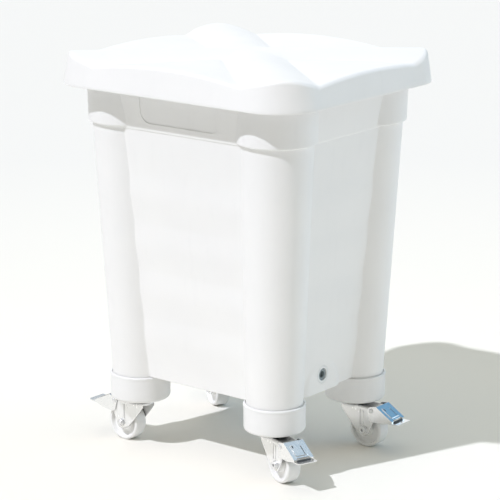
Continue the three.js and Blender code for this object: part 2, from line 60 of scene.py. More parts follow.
TUB_BOTTOM_Z = 162.4
TUB_FLOOR_Z = 167.4
PANEL_TOP_Z = 708.4
END_PANEL_INSET = 1.6
BOARD_Z, BOARD_PITCH, BOARD_UPRIGHT = 612.0, 104.3, 44.0
BOARD_OFFSET, BOARD_STEP = 55.9, 6.0
BOARD_COUNT, BOARD_DRAFT, BOARD_TOP_STEP = 5, 0.4, 4.0
PANEL_OFFSETS = (30.0, 62.2)
BAND_OFFSETS = (63.4, 70.6)
BAND_TOP_Z = 778.0
RIM_Z = 829.0
RIM_LIP_Z = 803.0
RIM_INSET = 15.0
COLUMN_FILLET = 5.0

GRIP_HALF, GRIP_BOTTOM_Z, GRIP_TOP_Z, GRIP_CORNER = 104.0, 726.0, 790.0, 24.0
GRIP_DEPTH = 1.5

LID_HALF = (319.3, 279.1)
LID_CORNER_R = 97.0
LID_BOTTOM_Z = 793.0
LID_FLARE = 8.0
LID_WALL = 4.0
LID_EDGE_R = 9.0
CREST_Z = (863.0, 859.0)
CREASE_Z = (850.0, 838.0)
SIDE_MID_Z = (849.0, 856.0)
RIDGE_HALF_WIDTH, RIDGE_WIDENING, RIDGE_POWER = 62.0, 0.045, 1.8
SIDE_POWER = 1.7

CAP_R, CAP_BOTTOM_Z = 65.0, 103.5
DRAIN_Y, DRAIN_Z, DRAIN_FACE_X = -24.0, 199.0, 218.5
DRAIN_SEAT_X = 214.0
DRAIN_BORE, DRAIN_TUBE_R, DRAIN_FLANGE_R = 13.0, 15.5, 19.0
DRAIN_TUBE_END_X = 192.0
DRAIN_NUT_R, DRAIN_NUT_X = 24.0, (196.0, 205.5)
SEAL_THICK, FLANGE_THICK = 1.5, 2.7
PLUG_LENGTH, PLUG_SET_BACK, PLUG_SOCKET_R, PLUG_SOCKET_DEPTH = 20.0, 2.0, 7.0, 6.0
BOSS_HALF, BOSS_BASE_Z, BOSS_TOP_Z = 50.0, 170.4, 228.0
BOSS_SLOPE, BOSS_CREST, BOSS_REACH = 2.2, 2.5, 45.0

TRAIL = 38.0
WHEEL_R = 40.0
FORK_INNER, FORK_SHEET, FORK_CROWN_Z = 18.2, 2.6, 90.4
FORK_OUTER = FORK_INNER + FORK_SHEET
PIVOT = (58.0, 86.0)
PEDAL_INNER, PEDAL_SHEET = 21.8, 2.0
PEDAL_OUTER = PEDAL_INNER + PEDAL_SHEET
PEDAL_TOP = (71.0, 97.0)
PEDAL_END = (113.0, 70.5)
PEDAL_LIP = (129.0, 67.5)

CORNERS = {
    "front_left": (-1, -1, 179.0),
    "front_right": (1, -1, -20.0),
    "rear_right": (1, 1, 1.0),
    "rear_left": (-1, 1, 150.0),
}
PEDAL_LIFT = {"front_left": 6.0}


# ---- Curves and outlines ----

def lerp(low, high, share):
    return low + (high - low) * share


def arc(cx, cy, radius, start, end, steps):
    """Points on an arc, angles in degrees."""
    angles = [math.radians(lerp(start, end, i / steps)) for i in range(steps + 1)]
    return [(cx + radius * math.cos(a), cy + radius * math.sin(a)) for a in angles]


def through(points, steps=6):
    """A smooth open curve through the points."""
    ends = [points[0]] + list(points) + [points[-1]]
    curve = []
    for p0, p1, p2, p3 in zip(ends, ends[1:], ends[2:], ends[3:]):
        for i in range(steps):
            t = i / steps
            curve.append(tuple(
                0.5 * (2 * b + (c - a) * t + (2 * a - 5 * b + 4 * c - d) * t ** 2
                       + (3 * b - a - 3 * c + d) * t ** 3)
                for a, b, c, d in zip(p0, p1, p2, p3)
            ))
    curve.append(tuple(points[-1]))
    return curve


def soften(outline, radius, steps=4):
    """A closed outline with every corner rounded, as far as its edges allow."""
    rounded = []
    count = len(outline)
    for i in range(count):
        before, corner, after = (Vector(outline[(i + k) % count]) for k in (-1, 0, 1))
        reach_in = min(radius, (before - corner).length * 0.48)
        reach_out = min(radius, (after - corner).length * 0.48)
        start = corner + (before - corner).normalized() * reach_in
        end = corner + (after - corner).normalized() * reach_out
        for k in range(steps + 1):
            t = k / steps
            point = start * (1 - t) ** 2 + corner * 2 * t * (1 - t) + end * t ** 2
            rounded.append(tuple(point))
    return rounded


def smooth_max(a, b, width):
    near = max(0.0, width - abs(a - b))
    return max(a, b) + near * near / (4 * width)


# ---- Meshes ----

def new_object(name, points, faces, sharp=38.0):
    """An object from points in millimetres, smooth but for edges over the sharp angle."""
    mesh = bpy.data.meshes.new(name)
    mesh.from_pydata([tuple(c * MM for c in p) for p in points], [], faces)
    tidy_mesh(mesh, sharp)
    obj = bpy.data.objects.new(name, mesh)
    scene.collection.objects.link(obj)
    return obj


def tidy_mesh(mesh, sharp=38.0):
    work = bmesh.new()
    work.from_mesh(mesh)
    bmesh.ops.remove_doubles(work, verts=work.verts, dist=1e-6)
    bmesh.ops.recalc_face_normals(work, faces=work.faces)
    work.to_mesh(mesh)
    work.free()
    mesh.shade_smooth()
    mesh.set_sharp_from_angle(angle=math.radians(sharp))


def skin(rings, caps=True):
    """A skin through rings of equal length, closed at both ends."""
    count = len(rings[0])
    last = (len(rings) - 1) * count
    faces = []
    for start in range(0, last, count):
        for i in range(count):
            a, b = start + i, start + (i + 1) % count
            faces.append((a, b, b + count, a + count))
    if caps:
        faces.append(tuple(range(count))[::-1])
        faces.append(tuple(range(last, last + count)))
    return [p for ring in rings for p in ring], faces


def turned(outline, segments=64):
    """A solid of revolution about Z from a closed outline of (radius, height)."""
    points, faces = [], []
    turn = [2 * math.pi * i / segments for i in range(segments)]
    for radius, height in outline:
        points += [(radius * math.cos(a), radius * math.sin(a), height) for a in turn]
    rows = len(outline)
    for row in range(rows):
        low, high = row * segments, (row + 1) % rows * segments
        if outline[row][0] < 1e-6 and outline[(row + 1) % rows][0] < 1e-6:
            continue
        for i in range(segments):
            j = (i + 1) % segments
            faces.append((low + i, low + j, high + j, high + i))
    return points, faces


def lay_x(solid, y, z):
    """Turned solids' axis laid along +X."""
    points, faces = solid
    return [(h, y + a, z + b) for a, b, h in points], faces


def lay_v(solid, u, z):
    """Turned solids' axis laid across a castor."""
    points, faces = solid
    return [(u + a, h, z + b) for a, b, h in points], faces


def prism_v(outline, v0, v1):
    """A (u, z) outline made thick across the castor."""
    return skin([[(u, v, z) for u, z in outline] for v in (v0, v1)])


def prism_z(outline, z0, z1):
    """An (x, y) outline made thick upwards."""
    return skin([[(x, y, z) for x, y in outline] for z in (z0, z1)])


def prism_u(outline, u0, u1):
    """A (v, z) outline drawn out along the castor."""
    return skin([[(u, v, z) for v, z in outline] for u in (u0, u1)])


def apply_modifiers(obj, sharp=38.0):
    graph = bpy.context.evaluated_depsgraph_get()
    mesh = bpy.data.meshes.new_from_object(obj.evaluated_get(graph))
    obj.modifiers.clear()
    obj.data = mesh
    tidy_mesh(mesh, sharp)


def combine(obj, tools, operation):
    """Joins, cuts or crosses obj with the tool solids, which are used up."""
    for number, solid in enumerate(tools):
        tool = new_object(f"tool_{number}", *solid)
        step = obj.modifiers.new("step", "BOOLEAN")
        step.operation = operation
        step.solver = "EXACT"
        step.object = tool
        bpy.context.view_layer.update()
        apply_modifiers(obj)
        bpy.data.objects.remove(tool)
    return obj


def round_edges(obj, width, segments=3, angle=38.0):
    bevel = obj.modifiers.new("edges", "BEVEL")
    bevel.width = width * MM
    bevel.segments = segments
    bevel.limit_method = "ANGLE"
    bevel.angle_limit = math.radians(angle)
    bevel.harden_normals = True
    return obj


# ---- Materials ----

class Graph:
    """Short names for making a material's nodes."""

    def __init__(self, name):
        self.material = bpy.data.materials.new(name)
        self.material.use_nodes = True
        self.tree = self.material.node_tree
        self.shader = self.tree.nodes["Principled BSDF"]
        self.place = self.tree.nodes.new("ShaderNodeTexCoord").outputs["Object"]

    def node(self, kind, **values):
        node = self.tree.nodes.new(kind)
        for key, value in values.items():
            setattr(node, key, value)
        return node

    def link(self, source, target):
        self.tree.links.new(source, target)

    def noise(self, scale, detail=3.0, stretch=(1, 1, 1), roughness=0.5):
        mapping = self.node("ShaderNodeMapping")
        mapping.inputs["Scale"].default_value = stretch
        self.link(self.place, mapping.inputs["Vector"])
        noise = self.node("ShaderNodeTexNoise")
        noise.inputs["Scale"].default_value = scale
        noise.inputs["Detail"].default_value = detail
        noise.inputs["Roughness"].default_value = roughness
        self.link(mapping.outputs["Vector"], noise.inputs["Vector"])
        return noise.outputs["Fac"]

    def remap(self, source, low, high, out_low, out_high):
        remap = self.node("ShaderNodeMapRange")
        limits = {"From Min": low, "From Max": high, "To Min": out_low, "To Max": out_high}
        for key, value in limits.items():
            remap.inputs[key].default_value = value
        self.link(source, remap.inputs["Value"])
        return remap.outputs["Result"]

    def math(self, operation, a, b):
        node = self.node("ShaderNodeMath", operation=operation)
        for slot, value in zip(node.inputs, (a, b)):
            if isinstance(value, float):
                slot.default_value = value
            else:
                self.link(value, slot)
        return node.outputs["Value"]

    def mix(self, share, a, b):
        mix = self.node("ShaderNodeMix", data_type="RGBA")
        colours = [slot for slot in mix.inputs if slot.type == "RGBA"]
        factor = mix.inputs["Factor"]
        self.link(share, factor)
        for slot, value in zip(colours, (a, b)):
            if isinstance(value, tuple):
                slot.default_value = (*value, 1)
            else:
                self.link(value, slot)
        return next(out for out in mix.outputs if out.type == "RGBA")

    def bump(self, height, strength, distance, under=None):
        bump = self.node("ShaderNodeBump")
        bump.inputs["Strength"].default_value = strength
        bump.inputs["Distance"].default_value = distance
        self.link(height, bump.inputs["Height"])
        if under:
            self.link(under, bump.inputs["Normal"])
        return bump.outputs["Normal"]

    def edges(self, low=0.52, high=0.62):
        """How far a point is on an outer edge, from 0 to 1."""
        geometry = self.node("ShaderNodeNewGeometry")
        return self.remap(geometry.outputs["Pointiness"], low, high, 0.0, 1.0)

    def openness(self, reach, low, high):
        """How open a point is to its surroundings, from 0 in a narrow gap to 1."""
        gap = self.node("ShaderNodeAmbientOcclusion", samples=8)
        gap.inputs["Distance"].default_value = reach
        return self.remap(gap.outputs["AO"], low, high, 0.0, 1.0)

    def finish(self, colour, roughness, normal, **constants):
        self.link(colour, self.shader.inputs["Base Color"])
        self.link(roughness, self.shader.inputs["Roughness"])
        self.link(normal, self.shader.inputs["Normal"])
        for key, value in constants.items():
            self.shader.inputs[key.replace("_", " ")].default_value = value
        return self.material


def moulded_plastic(name, colour, shade, rough, grain, **constants):
    """Moulded plastic: a fine grain, slow waves, faint scuffs and polished edges."""
    graph = Graph(name)
    cloud = graph.noise(7.0, 4.0)
    scuffs = graph.remap(graph.noise(60.0, 6.0, (1, 1, 0.16), 0.65), 0.56, 0.72, 0.0, 1.0)
    worn = graph.mix(graph.remap(cloud, 0.35, 0.7, 0.0, 1.0), colour, shade)
    brightened = graph.mix(graph.math("MULTIPLY", graph.edges(), 0.35), worn, (0.97, 0.97, 0.965))
    marked = graph.mix(graph.math("MULTIPLY", scuffs, 0.07), brightened, tuple(c * 0.8 for c in shade))
    base = graph.remap(cloud, 0.3, 0.7, rough - 0.04, rough + 0.05)
    roughness = graph.math("ADD", base, graph.math("MULTIPLY", scuffs, 0.1))
    waves = graph.bump(graph.noise(14.0, 1.0), 0.12, 0.004)
    pores = graph.bump(graph.noise(900.0, 2.0), grain, 0.0004, waves)
    return graph.finish(marked, roughness, pores, **constants)


def pressed_steel(name, colour, rough, stretch, metal=0.6):
    """Pressed stainless steel, with rolling lines, brighter rubbed edges and painted shade that darkens
    narrow gaps.
    """
    graph = Graph(name)
    lines = graph.noise(260.0, 4.0, stretch, 0.6)
    cloud = graph.noise(40.0, 3.0)
    tone = graph.mix(graph.remap(lines, 0.3, 0.7, 0.0, 1.0), tuple(c * 0.94 for c in colour), colour)
    rubbed = graph.mix(graph.math("MULTIPLY", graph.edges(), 0.6), tone, (0.93, 0.93, 0.92))
    roughness = graph.math("ADD", graph.remap(cloud, 0.3, 0.7, rough - 0.03, rough + 0.04),
                           graph.remap(lines, 0.3, 0.7, 0.0, 0.04))
    dents = graph.bump(graph.noise(18.0, 1.0), 0.06, 0.002)
    normal = graph.bump(lines, 0.03, 0.0001, dents)
    # Painted shade: the colour turns near black where a narrow gap hides a point from its surroundings.
    gap_shaded = graph.mix(graph.openness(0.03, 0.12, 0.5), (0.05, 0.05, 0.048), rubbed)
    return graph.finish(gap_shaded, roughness, normal, Metallic=metal)


def soft_black(name, colour, rough, grain):
    """Dark rubber or filled nylon: matt, finely pitted, dusty where it stands proud."""
    graph = Graph(name)
    cloud = graph.noise(30.0, 5.0)
    dusty, worn = (tuple(c * gain + lift for c in colour) for gain, lift in ((2.2, 0.03), (1.8, 0.05)))
    dust = graph.mix(graph.remap(cloud, 0.45, 0.75, 0.0, 0.35), colour, dusty)
    edge = graph.mix(graph.math("MULTIPLY", graph.edges(), 0.4), dust, worn)
    roughness = graph.remap(cloud, 0.3, 0.7, rough - 0.08, rough + 0.08)
    normal = graph.bump(graph.noise(700.0, 3.0), grain, 0.0005)
    return graph.finish(edge, roughness, normal)


# Name, colour, shaded colour, roughness and the depth of the grain.
TUB_PLASTIC = moulded_plastic("tub_plastic", (0.90, 0.897, 0.888), (0.878, 0.876, 0.87), 0.42, 0.10)
LID_PLASTIC = moulded_plastic("lid_plastic", (0.90, 0.897, 0.89), (0.878, 0.876, 0.872), 0.38, 0.07)
CAP_PLASTIC = moulded_plastic("cap_plastic", (0.86, 0.861, 0.858), (0.82, 0.822, 0.82), 0.36, 0.06)
FITTING_PLASTIC = moulded_plastic("fitting_plastic", (0.84, 0.85, 0.85), (0.78, 0.79, 0.79), 0.4, 0.06)
WHEEL_NYLON = moulded_plastic("wheel_nylon", (0.90, 0.90, 0.89), (0.86, 0.86, 0.85), 0.46, 0.14)
STEEL = pressed_steel("pressed_steel", (0.90, 0.905, 0.91), 0.22, (1, 1, 0.06))
PEDAL_STEEL = pressed_steel("pedal_steel", (0.88, 0.89, 0.90), 0.16, (0.06, 1, 1), 0.85)
# The swivel cup's steel has a dark grey base: painted shade for the gap under the foot cap where the cup
# sits.
SHADE_DARKENED_HEAD_STEEL = pressed_steel("head_steel_painted_shade", (0.42, 0.42, 0.41), 0.35, (1, 1, 1))
BOLT_STEEL = pressed_steel("bolt_steel", (0.84, 0.845, 0.85), 0.3, (1, 1, 1))
DARK_NYLON = soft_black("dark_nylon", (0.045, 0.052, 0.058), 0.5, 0.12)
PLUG_NYLON = soft_black("plug_nylon", (0.22, 0.26, 0.275), 0.42, 0.08)
SEAL_RUBBER = soft_black("seal_rubber", (0.03, 0.03, 0.031), 0.72, 0.2)


def dress(obj, material):
    obj.data.materials.clear()
    obj.data.materials.append(material)
    return obj


def place(obj, node, body, material):
    """Makes obj stand for a CAD node, on its body, with its finish."""
    dress(obj, material)
    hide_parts(node)
    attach(obj, body)
    return obj


# ---- Tub ----

def along_column(values, z):
    return lerp(values[0], values[1], (z - FOOT_Z) / (COLLAR_Z - FOOT_Z))


def axis_at(z):
    return tuple(along_column(pair, z) for pair in zip(FOOT_AXIS, COLLAR_AXIS))


def broken_line(points, at):
    """Height-ordered (height, value) points, read at one height."""
    for (z0, v0), (z1, v1) in zip(points, points[1:]):
        if at <= z1:
            return lerp(v0, v1, max(0.0, at - z0) / (z1 - z0))
    return points[-1][1]


def board_points():
    """The stepped panels' profile: upright boards with sloping steps between them."""
    points = [(TUB_BOTTOM_Z, PANEL_OFFSETS[0])]
    lowest = BOARD_COUNT - 1
    for k in range(lowest, -1, -1):
        z = BOARD_Z - k * BOARD_PITCH
        offset = BOARD_OFFSET - k * BOARD_STEP
        if k < lowest:
            points.append((z - BOARD_UPRIGHT, offset - BOARD_DRAFT))
        points.append((z, offset))
    points.append((BOARD_Z + BOARD_PITCH - BOARD_UPRIGHT, BOARD_OFFSET + BOARD_TOP_STEP))
    points.append((PANEL_TOP_Z, PANEL_OFFSETS[1]))
    return points


BOARD_PROFILE = board_points()
BOARD_BLEND = (-3.0, -1.5, 0.0, 1.5, 3.0)


def panel_offset(z):
    return sum(broken_line(BOARD_PROFILE, z + d) for d in BOARD_BLEND) / len(BOARD_BLEND)


def band_offset(z):
    return lerp(*BAND_OFFSETS, min(1.0, (z - PANEL_TOP_Z) / (BAND_TOP_Z - PANEL_TOP_Z)))


END_STEPS, SIDE_STEPS, FILLET_STEPS, COLUMN_STEPS = 22, 14, 3, 40


def section(centre, radius, out_x, out_y, z):
    """One level of the outline: flat panels between round columns that stand proud of them."""
    cx, cy = centre
    reach = radius + COLUMN_FILLET
    dip_x = -math.sqrt(max(0.0, reach ** 2 - (out_x + COLUMN_FILLET) ** 2))
    dip_y = -math.sqrt(max(0.0, reach ** 2 - (out_y + COLUMN_FILLET) ** 2))
    toe_x = math.degrees(math.atan2(dip_x, out_x + COLUMN_FILLET))
    toe_y = math.degrees(math.atan2(dip_y, out_y + COLUMN_FILLET))
    end = [(cx + out_x, (cy + dip_x) * i / END_STEPS) for i in range(END_STEPS)]
    first = arc(cx + out_x + COLUMN_FILLET, cy + dip_x, COLUMN_FILLET, 180, 180 + toe_x, FILLET_STEPS)
    column = arc(cx, cy, radius, toe_x, 90 - toe_y, COLUMN_STEPS)[1:-1]
    second = arc(cx + dip_y, cy + out_y + COLUMN_FILLET, COLUMN_FILLET, -90 - toe_y, -90, FILLET_STEPS)
    side = [((cx + dip_y) * (1 - i / SIDE_STEPS), cy + out_y) for i in range(1, SIDE_STEPS + 1)]
    quarter = end + first + column + second + side
    ring = quarter + [(-x, y) for x, y in quarter[-2::-1]]
    ring += [(-x, -y) for x, y in quarter[1:]]
    ring += [(x, -y) for x, y in quarter[-2:0:-1]]
    return [(x, y, z) for x, y in ring]


def tub_level(z, offset, radius, inset=0.0):
    return section(axis_at(z), radius - inset, offset - END_PANEL_INSET - inset, offset - inset, z)


def rim_level(inset, z):
    centre = (LID_HALF[0] - LID_CORNER_R, LID_HALF[1] - LID_CORNER_R)
    out = LID_CORNER_R - inset
    return section(centre, out + 0.3, out, out, z)


def with_boss(ring):
    """Raises the shallow arched pad round the drain on the +X panel."""
    raised = []
    for x, y, z in ring:
        near_y = abs(y - DRAIN_Y) < BOSS_HALF + BOSS_REACH
        if x > FOOT_AXIS[0] and near_y and z < BOSS_TOP_Z + BOSS_REACH:
            up = max(0.0, z - BOSS_BASE_Z) / (BOSS_TOP_Z - BOSS_BASE_Z)
            outside = (math.hypot((y - DRAIN_Y) / BOSS_HALF, up) - 1) * BOSS_HALF
            pad = DRAIN_FACE_X - (outside + math.hypot(outside, BOSS_CREST)) / 2 / BOSS_SLOPE
            x = smooth_max(x, pad, 1.0)
        raised.append((x, y, z))
    return raised


def heights(z0, z1, pitch):
    count = max(1, round((z1 - z0) / pitch))
    return [lerp(z0, z1, i / count) for i in range(count + 1)]


def outer_rings():
    rings = [with_boss(tub_level(TUB_BOTTOM_Z, PANEL_OFFSETS[0], COLUMN_R[0], 1.5))]
    for z in heights(TUB_BOTTOM_Z + 1.5, 240.0, 2.5) + heights(240.0, PANEL_TOP_Z, 5.0)[1:]:
        rings.append(with_boss(tub_level(z, panel_offset(z), along_column(COLUMN_R, z))))
    for z, set_back in ((PANEL_TOP_Z, 0.6), (PANEL_TOP_Z + 0.8, 0.0), (COLLAR_Z, 0.0)):
        rings.append(tub_level(z, band_offset(z) - set_back, along_column(COLUMN_R, z)))
    for angle in range(0, 91, 18):
        turn = math.radians(angle)
        z = COLLAR_Z + COLLAR_LIP * (1 - math.cos(turn))
        rings.append(tub_level(z, band_offset(z), COLLAR_R - COLLAR_LIP * (1 - math.sin(turn))))
    for z in heights(COLLAR_Z + COLLAR_LIP, BAND_TOP_Z, 6.0)[1:] + [RIM_LIP_Z, RIM_Z - 7]:
        rings.append(tub_level(z, band_offset(z), COLLAR_R))
    rings.append(tub_level(RIM_Z - 5, BAND_OFFSETS[1] + 2, COLLAR_R + 2))
    return rings


def rim_rings():
    inner = RIM_INSET + LID_WALL
    rings = [rim_level(inner + 2, RIM_Z - 5), rim_level(inner, RIM_Z - 7), rim_level(inner, RIM_LIP_Z + 1)]
    rings += [rim_level(inner - 1, RIM_LIP_Z), rim_level(RIM_INSET + 1, RIM_LIP_Z)]
    rings += [rim_level(RIM_INSET, RIM_LIP_Z + 1), rim_level(RIM_INSET, RIM_Z - 3)]
    rings += [rim_level(RIM_INSET + 0.9, RIM_Z - 0.9), rim_level(RIM_INSET + 3, RIM_Z)]
    return rings


def inner_rings():
    """The cavity, from the rim down to the floor."""
    top = BAND_OFFSETS[1] - WALL
    inside = (
        (TUB_FLOOR_Z, PANEL_OFFSETS[0] - WALL),
        (PANEL_TOP_Z, PANEL_OFFSETS[1] - WALL - 1),
        (BAND_TOP_Z, top),
    )
    rings = []
    for z, spread in ((RIM_Z, 2.0), (RIM_Z - 0.6, 0.6), (RIM_Z - 2, 0.0)):
        rings.append(tub_level(z, top + spread, COLLAR_R - WALL + spread))
    for z in heights(COLLAR_Z + WALL, RIM_Z - 19, 16.0)[::-1]:
        rings.append(tub_level(z, broken_line(inside, z), COLLAR_R - WALL))
    for z in heights(TUB_FLOOR_Z + 6, COLLAR_Z + WALL - 1, 30.0)[::-1]:
        rings.append(tub_level(z, broken_line(inside, z), along_column(COLUMN_R, z) - WALL))
    for z, inset in ((TUB_FLOOR_Z + 2.5, 1.0), (TUB_FLOOR_Z + 0.7, 3.2), (TUB_FLOOR_Z, 6.0)):
        rings.append(tub_level(z, broken_line(inside, z), COLUMN_R[0] - WALL, inset))
    return rings


def grip_tool(side):
    """A cutter for the shallow recess pressed into a long side's band."""
    outline = [(GRIP_HALF, GRIP_TOP_Z), (-GRIP_HALF, GRIP_TOP_Z)]
    outline += arc(-GRIP_HALF + GRIP_CORNER, GRIP_BOTTOM_Z + GRIP_CORNER, GRIP_CORNER, 180, 270, 10)
    outline += arc(GRIP_HALF - GRIP_CORNER, GRIP_BOTTOM_Z + GRIP_CORNER, GRIP_CORNER, 270, 360, 10)

    def at(x, z, depth):
        return (side * x, side * (axis_at(z)[1] + band_offset(z) - depth), z)

    return skin([[at(x, z, depth) for x, z in outline] for depth in (-6.0, GRIP_DEPTH)])


def spigots():
    """The round feet that the caps go over, each with a shoulder that fills the cap's mouth."""
    disc_z = TUB_BOTTOM_Z + 3.6
    tube = [(0, 158.6), (54.5, 158.6), (54.5, 112.0), (58.5, 112.0), (58.5, 156.6), (61.2, 156.6)]
    tube += [(61.2, 158.2), (59.4, 158.4), (59.4, disc_z - 1.2), (58.2, disc_z), (0, disc_z)]
    points, faces = [], []
    for sx, sy, _ in CORNERS.values():
        ring_points, ring_faces = turned(tube, 96)
        start = len(points)
        points += [(x + sx * FOOT_AXIS[0], y + sy * FOOT_AXIS[1], z) for x, y, z in ring_points]
        faces += [tuple(start + i for i in face) for face in ring_faces]
    return points, faces


def make_tub():
    tub = new_object("tub_shell", *skin(outer_rings() + rim_rings() + inner_rings()))
    outside = DRAIN_FACE_X + 11.5
    holes = []
    for radius, start in ((DRAIN_TUBE_R + GAP, DRAIN_TUBE_END_X - 2), (DRAIN_FLANGE_R + GAP, DRAIN_SEAT_X)):
        outline = [(0, start), (radius, start), (radius, outside), (0, outside)]
        holes.append(lay_x(turned(outline, 64), DRAIN_Y, DRAIN_Z))
    combine(tub, holes + [grip_tool(-1), grip_tool(1)], "DIFFERENCE")
    legs = new_object("tub_spigots", *spigots())
    place(tub, "tub_body", "root", TUB_PLASTIC)
    place(legs, "tub_body", "root", TUB_PLASTIC)


# ---- Lid ----

LID_ANGLE = math.atan2(LID_HALF[1], LID_HALF[0])
LID_REACH = math.hypot(*LID_HALF) - LID_CORNER_R * (math.sqrt(2) - 1)


def lid_top(x, y):
    """Four rounded ridges along the diagonals, and side panels that arch up between them."""
    x, y = math.hypot(x, 9.0), math.hypot(y, 9.0)
    toward_x, toward_y = x * math.sin(LID_ANGLE), y * math.cos(LID_ANGLE)
    along = x * math.cos(LID_ANGLE) + y * math.sin(LID_ANGLE)
    reach = min(1.0, along / LID_REACH)
    width = RIDGE_HALF_WIDTH + RIDGE_WIDENING * along
    crest = lerp(*CREST_Z, reach)
    crease = lerp(*CREASE_Z, reach)
    ridge = crest - (crest - crease) * (abs(toward_x - toward_y) / width) ** RIDGE_POWER
    room = max(toward_x, toward_y) - width
    if room < 4:
        return ridge
    on_end = toward_x > toward_y
    share = x / LID_HALF[0] if on_end else y / LID_HALF[1]
    middle = lerp(CREASE_Z[0], SIDE_MID_Z[0] if on_end else SIDE_MID_Z[1], share)
    to_crease = min(1.6, min(toward_x, toward_y) / room)
    side = crease + (middle - crease) * (1 - to_crease ** SIDE_POWER)
    return smooth_max(ridge, side, 1.6)


def lid_outline(inset):
    """The lid's outline in plan, with as many points for every inset."""
    cx, cy, r = LID_HALF[0] - LID_CORNER_R, LID_HALF[1] - LID_CORNER_R, LID_CORNER_R - inset
    turns = ((1, 1, 0), (-1, 1, 90), (-1, -1, 180), (1, -1, 270))
    outline = []
    for sx, sy, start in turns:
        outline += arc(sx * cx, sy * cy, r, start, start + 90, 32)
        x0, y0 = outline[-1]
        x1, y1 = (-x0, y0) if start % 180 == 0 else (x0, -y0)
        steps = 84 if start % 180 == 0 else 70
        outline += [(lerp(x0, x1, i / steps), lerp(y0, y1, i / steps)) for i in range(1, steps)]
    return outline


def lid_ring(inset, drop, share=1.0):
    return [(x * share, y * share, lid_top(x * share, y * share) - drop) for x, y in lid_outline(inset)]


def between(low, high, share):
    return [tuple(lerp(a, b, share) for a, b in zip(p, q)) for p, q in zip(low, high)]


def flat_ring(inset, z):
    return [(x, y, z) for x, y in lid_outline(inset)]


def make_lid():
    under = LID_FLARE + LID_WALL
    coarse = [0.02] + [i / 24 for i in range(1, 24)] + [0.985]
    fine = [0.01] + [i / 64 for i in range(1, 64)]
    rings = [lid_ring(under, LID_WALL, share) for share in coarse]
    inner_top = lid_ring(under, LID_WALL + LID_EDGE_R * 0.7)
    rings += [lid_ring(under + 2, LID_WALL + 1.5), inner_top]
    inner_bottom = flat_ring(LID_WALL, LID_BOTTOM_Z + 1)
    rings += [between(inner_top, inner_bottom, i / 5) for i in range(1, 6)]
    rings += [flat_ring(inset, LID_BOTTOM_Z) for inset in (LID_WALL - 0.8, 1.2)]
    outer_bottom = flat_ring(0.0, LID_BOTTOM_Z + 1.4)
    outer_top = lid_ring(LID_FLARE, LID_EDGE_R)
    rings += [flat_ring(0.35, LID_BOTTOM_Z + 0.4)]
    rings += [between(outer_bottom, outer_top, i / 8) for i in range(9)]
    for angle in range(15, 91, 15):
        turn = math.radians(angle)
        inset = LID_FLARE + LID_EDGE_R * (1 - math.cos(turn))
        rings.append(lid_ring(inset, LID_EDGE_R * (1 - math.sin(turn))))
    rings += [lid_ring(LID_FLARE + LID_EDGE_R, 0.0, share) for share in fine[::-1]]
    lid = new_object("lid_shell", *skin(rings), sharp=60.0)
    place(lid, "lid", "lid", LID_PLASTIC)


# ---- Foot caps ----

def cap_outline():
    body = [
        (6.3, CAP_BOTTOM_Z),
        (CAP_R - 8, CAP_BOTTOM_Z),
    ]
    body += arc(CAP_R - 8, CAP_BOTTOM_Z + 8, 7.6, -80, 0, 8)
    body += [(CAP_R - 0.4, 155.0)]
    body += [(CAP_R - 0.4, 155.6), (CAP_R + 0.3, 156.4)]
    body += arc(CAP_R - 2.1, 158.8, 2.4, 0, 90, 5)
    body += [(61.6, 161.2), (61.5, 115.0), (57.0, 108.5), (13.0, 108.5), (13.0, 145.0), (6.3, 145.0)]
    return body


def make_foot_caps():
    caps = {}
    first = new_object("foot_cap_form", *turned(cap_outline(), 96))
    for corner, (sx, sy, _) in CORNERS.items():
        cap = bpy.data.objects.new(f"foot_cup_{corner}", first.data)
        scene.collection.objects.link(cap)
        cap.location = (sx * FOOT_AXIS[0] * MM, sy * FOOT_AXIS[1] * MM, 0)
        caps[corner] = place(cap, f"foot_cap_{corner}", "root", CAP_PLASTIC)
    bpy.data.objects.remove(first)
    return caps


# ---- Drain ----

def make_drain():
    back = DRAIN_SEAT_X + SEAL_THICK + 2 * GAP
    edge = back + FLANGE_THICK
    fitting = [(DRAIN_BORE, DRAIN_TUBE_END_X), (DRAIN_TUBE_R, DRAIN_TUBE_END_X)]
    fitting += [(DRAIN_TUBE_R, back), (DRAIN_FLANGE_R, back)]
    fitting += [(DRAIN_FLANGE_R, edge - 0.5), (DRAIN_FLANGE_R - 0.5, edge), (DRAIN_BORE + 0.8, edge)]
    fitting += [(DRAIN_BORE, edge - 0.8)]
    ring = new_object("drain_ring", *lay_x(turned(soften(fitting, 0.7, 3), 64), DRAIN_Y, DRAIN_Z))
    place(ring, "drain_fitting", "root", FITTING_PLASTIC)

    front = DRAIN_FACE_X - PLUG_SET_BACK
    r = DRAIN_BORE - GAP
    plug = [(0, front - PLUG_LENGTH), (r, front - PLUG_LENGTH), (r, front - 1), (r - 1, front)]
    plug += [(PLUG_SOCKET_R + 1.2, front), (PLUG_SOCKET_R + 0.2, front - 1)]
    plug += [(PLUG_SOCKET_R, front - PLUG_SOCKET_DEPTH), (0, front - PLUG_SOCKET_DEPTH)]
    stopper = new_object("drain_stopper", *lay_x(turned(plug, 48), DRAIN_Y, DRAIN_Z))
    place(stopper, "drain_plug", "plug", PLUG_NYLON)

    flats = arc(0, 0, DRAIN_NUT_R, 0, 315, 7)
    nut = new_object("drain_lock_nut", *prism_z(soften(flats, 3.0, 3), *DRAIN_NUT_X))
    hole_r, low, high = DRAIN_TUBE_R + 2 * GAP, DRAIN_NUT_X[0] - 6, DRAIN_NUT_X[1] + 4.5
    combine(nut, [turned([(0, low), (hole_r, low), (hole_r, high), (0, high)], 48)], "DIFFERENCE")
    nut.data.transform(Matrix.Rotation(math.radians(90), 4, "Y"))
    nut.data.transform(Matrix.Translation((0, DRAIN_Y * MM, DRAIN_Z * MM)))
    round_edges(nut, 0.8, 2)
    place(nut, "drain_nut", "root", FITTING_PLASTIC)


# ---- Castors: u runs along the trail, v across it, from the swivel axis ----

